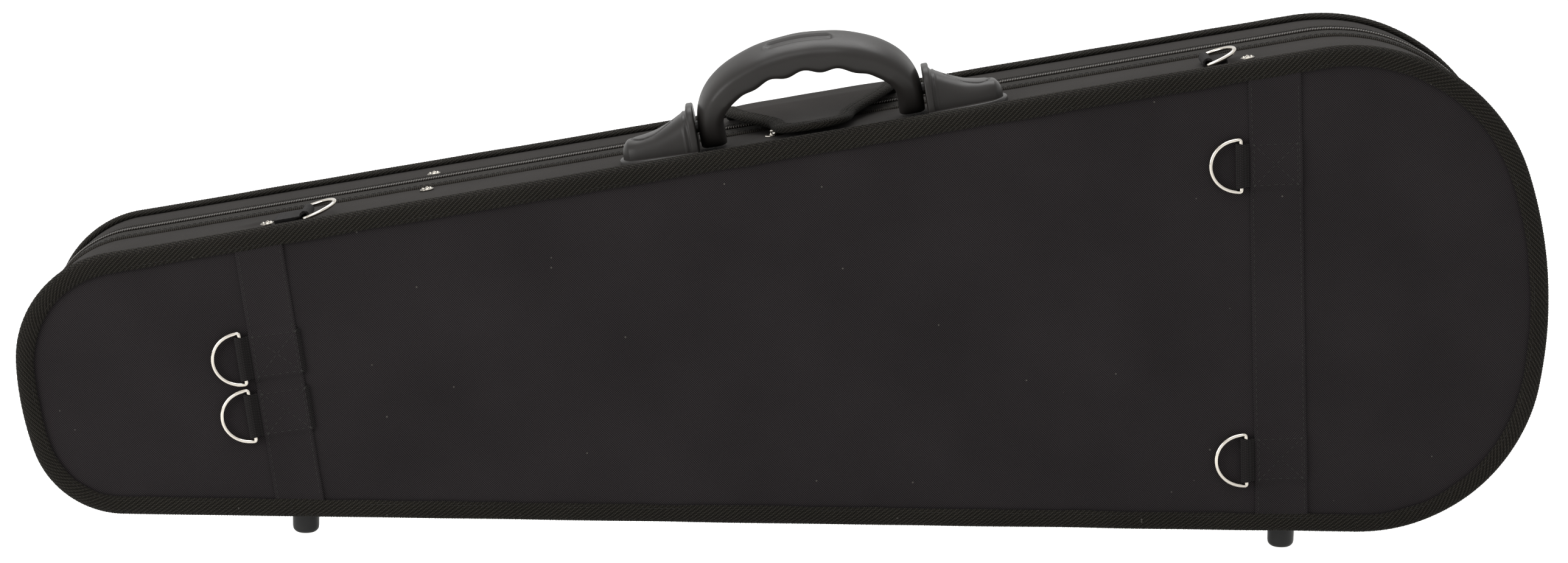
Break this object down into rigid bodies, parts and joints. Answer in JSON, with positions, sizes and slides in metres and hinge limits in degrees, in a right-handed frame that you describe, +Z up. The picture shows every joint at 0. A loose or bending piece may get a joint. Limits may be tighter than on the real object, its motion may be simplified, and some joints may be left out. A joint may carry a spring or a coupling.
{
  "type": "violin case",
  "caption": "Dart-shaped hard-board violin case with fabric cover, zip, carrying handle, strap rings, fitted bed and accessory box.",
  "frame": {"origin": "centre of the bounding box's bottom face: the floor under the feet, half way along the case and half way through its depth", "axes": "+X to the wide end, -Y out of the back panel that carries the strap rings, +Y out of the lid, +Z up from the spine to the handle"},
  "size_m": [0.7903, 0.1441, 0.2682],
  "materials": {
    "panel_fabric": "coarse woven oxford cloth",
    "wall_fabric": "fine smooth woven nylon",
    "binding_tape": "herringbone woven binding tape",
    "zip_tape": "ribbed zip tape",
    "zip_coil": "moulded nylon coil, satin",
    "webbing": "woven webbing",
    "board": "moulded board, matt",
    "plush": "short plush over foam",
    "handle_plastic": "moulded plastic, satin",
    "foot_plastic": "moulded plastic, matt",
    "nickel": "polished nickel plate",
    "steel": "plain steel, satin"
  },
  "bodies": {
    "base": {"accessory_box": "plush", "base_binding": "binding_tape", "base_foot_narrow": "foot_plastic", "base_foot_wide": "foot_plastic", "base_panel_cover": "panel_fabric", "base_shell": "board", "base_wall_cover": "wall_fabric", "handle_cap_narrow": "handle_plastic", "handle_cap_wide": "handle_plastic", "handle_mount_narrow": "handle_plastic", "handle_mount_wide": "handle_plastic", "hinge_leaf_base_narrow": "steel", "hinge_leaf_base_wide": "steel", "hinge_pin_narrow": "steel", "hinge_pin_wide": "steel", "lid_stay": "webbing", "neck_rest": "plush", "neck_strap": "plush", "ring_tab_1": "webbing", "ring_tab_2": "webbing", "ring_tab_3": "webbing", "ring_tab_4": "webbing", "snap_stud": "nickel", "stay_rivet_base": "nickel", "strap_band_narrow": "webbing", "strap_band_wide": "webbing", "tab_rivet_narrow": "nickel", "tab_rivet_wide": "nickel", "violin_bed": "plush", "wall_tab_narrow": "webbing", "wall_tab_wide": "webbing", "zip_tape_base": "zip_tape", "zip_teeth_base": "zip_coil"},
    "lid": {"hinge_leaf_lid_narrow": "steel", "hinge_leaf_lid_wide": "steel", "lid_binding": "binding_tape", "lid_foot_narrow": "foot_plastic", "lid_foot_wide": "foot_plastic", "lid_lining": "plush", "lid_panel_cover": "panel_fabric", "lid_shell": "board", "lid_wall_cover": "wall_fabric", "stay_rivet_lid": "nickel", "zip_tape_lid": "zip_tape", "zip_teeth_lid": "zip_coil"},
    "accessory_lid": {"accessory_lid": "plush"},
    "bow_spinner_lower": {"bow_spinner_lower": "handle_plastic"},
    "bow_spinner_upper": {"bow_spinner_upper": "handle_plastic"},
    "closure_flap": {"closure_flap": "binding_tape"},
    "handle": {"handle_grip": "handle_plastic"},
    "panel_ring_1": {"panel_ring_1": "nickel"},
    "panel_ring_2": {"panel_ring_2": "nickel"},
    "panel_ring_3": {"panel_ring_3": "nickel"},
    "panel_ring_4": {"panel_ring_4": "nickel"},
    "wall_ring_narrow": {"wall_ring_narrow": "nickel"},
    "wall_ring_wide": {"wall_ring_wide": "nickel"},
    "zip_pull_narrow": {"zip_pull_narrow": "nickel"},
    "zip_pull_wide": {"zip_pull_wide": "nickel"},
    "zip_slider_narrow": {"zip_slider_narrow": "nickel"},
    "zip_slider_wide": {"zip_slider_wide": "nickel"}
  },
  "joints": [
    {"name": "lid_hinge", "type": "hinge", "parent": "base", "child": "lid", "pos_m": [0, 0.0185, 0.01305], "axis": [-1, 0, 0], "range_deg": [0, 95], "deforming": ["lid_stay"]},
    {"name": "handle_swing", "type": "hinge", "parent": "base", "child": "handle", "pos_m": [0.01289, -0.038, 0.2277], "axis": [0.983, 0, 0.1838], "range_deg": [-70, 60]},
    {"name": "accessory_lid_hinge", "type": "hinge", "parent": "base", "child": "accessory_lid", "pos_m": [-0.237, -0.0054, 0.01305], "axis": [0, 0, -1], "range_deg": [0, 95]},
    {"name": "panel_ring_1_swing", "type": "hinge", "parent": "base", "child": "panel_ring_1", "pos_m": [-0.27783, -0.0694, 0.09687], "axis": [-0.1547, 0, 0.988], "range_deg": [0, 150]},
    {"name": "panel_ring_2_swing", "type": "hinge", "parent": "base", "child": "panel_ring_2", "pos_m": [-0.27314, -0.0694, 0.06688], "axis": [-0.1547, 0, 0.988], "range_deg": [0, 150]},
    {"name": "panel_ring_3_swing", "type": "hinge", "parent": "base", "child": "panel_ring_3", "pos_m": [0.23379, -0.0694, 0.20555], "axis": [-0.0523, 0, 0.9986], "range_deg": [0, 150]},
    {"name": "panel_ring_4_swing", "type": "hinge", "parent": "base", "child": "panel_ring_4", "pos_m": [0.24188, -0.0694, 0.05105], "axis": [-0.0523, 0, 0.9986], "range_deg": [0, 150]},
    {"name": "wall_ring_narrow_swing", "type": "hinge", "parent": "base", "child": "wall_ring_narrow", "pos_m": [-0.24757, -0.0395, 0.1688], "axis": [0, -1, 0], "range_deg": [-12, 138]},
    {"name": "wall_ring_wide_swing", "type": "hinge", "parent": "base", "child": "wall_ring_wide", "pos_m": [0.21693, -0.0395, 0.25566], "axis": [0, -1, 0], "range_deg": [0, 150]},
    {"name": "flap_lift", "type": "hinge", "parent": "lid", "child": "closure_flap", "pos_m": [0.01524, 0.048, 0.21511], "axis": [-0.983, 0, -0.1838], "range_deg": [0, 12]},
    {"name": "bow_spinner_lower_turn", "type": "hinge", "parent": "lid", "child": "bow_spinner_lower", "pos_m": [0.23, 0.0569, 0.08058], "axis": [0, -1, 0], "range_deg": [0, 90]},
    {"name": "bow_spinner_upper_turn", "type": "hinge", "parent": "lid", "child": "bow_spinner_upper", "pos_m": [0.23, 0.0569, 0.1901], "axis": [0, -1, 0], "range_deg": [0, 90]},
    {"name": "zip_slider_narrow_slide", "type": "slide", "parent": "base", "child": "zip_slider_narrow", "axis": [-0.983, 0, -0.1838], "range_m": [0, 0.33]},
    {"name": "zip_slider_wide_slide", "type": "slide", "parent": "base", "child": "zip_slider_wide", "axis": [0.983, 0, 0.1838], "range_m": [0, 0.23]},
    {"name": "zip_pull_narrow_swing", "type": "hinge", "parent": "zip_slider_narrow", "child": "zip_pull_narrow", "pos_m": [0.00837, 0.0185, 0.21922], "axis": [0, 1, 0], "range_deg": [0, 4]},
    {"name": "zip_pull_wide_swing", "type": "hinge", "parent": "zip_slider_wide", "child": "zip_pull_wide", "pos_m": [0.02017, 0.0185, 0.22143], "axis": [0, -1, 0], "range_deg": [0, 4]}
  ]
}
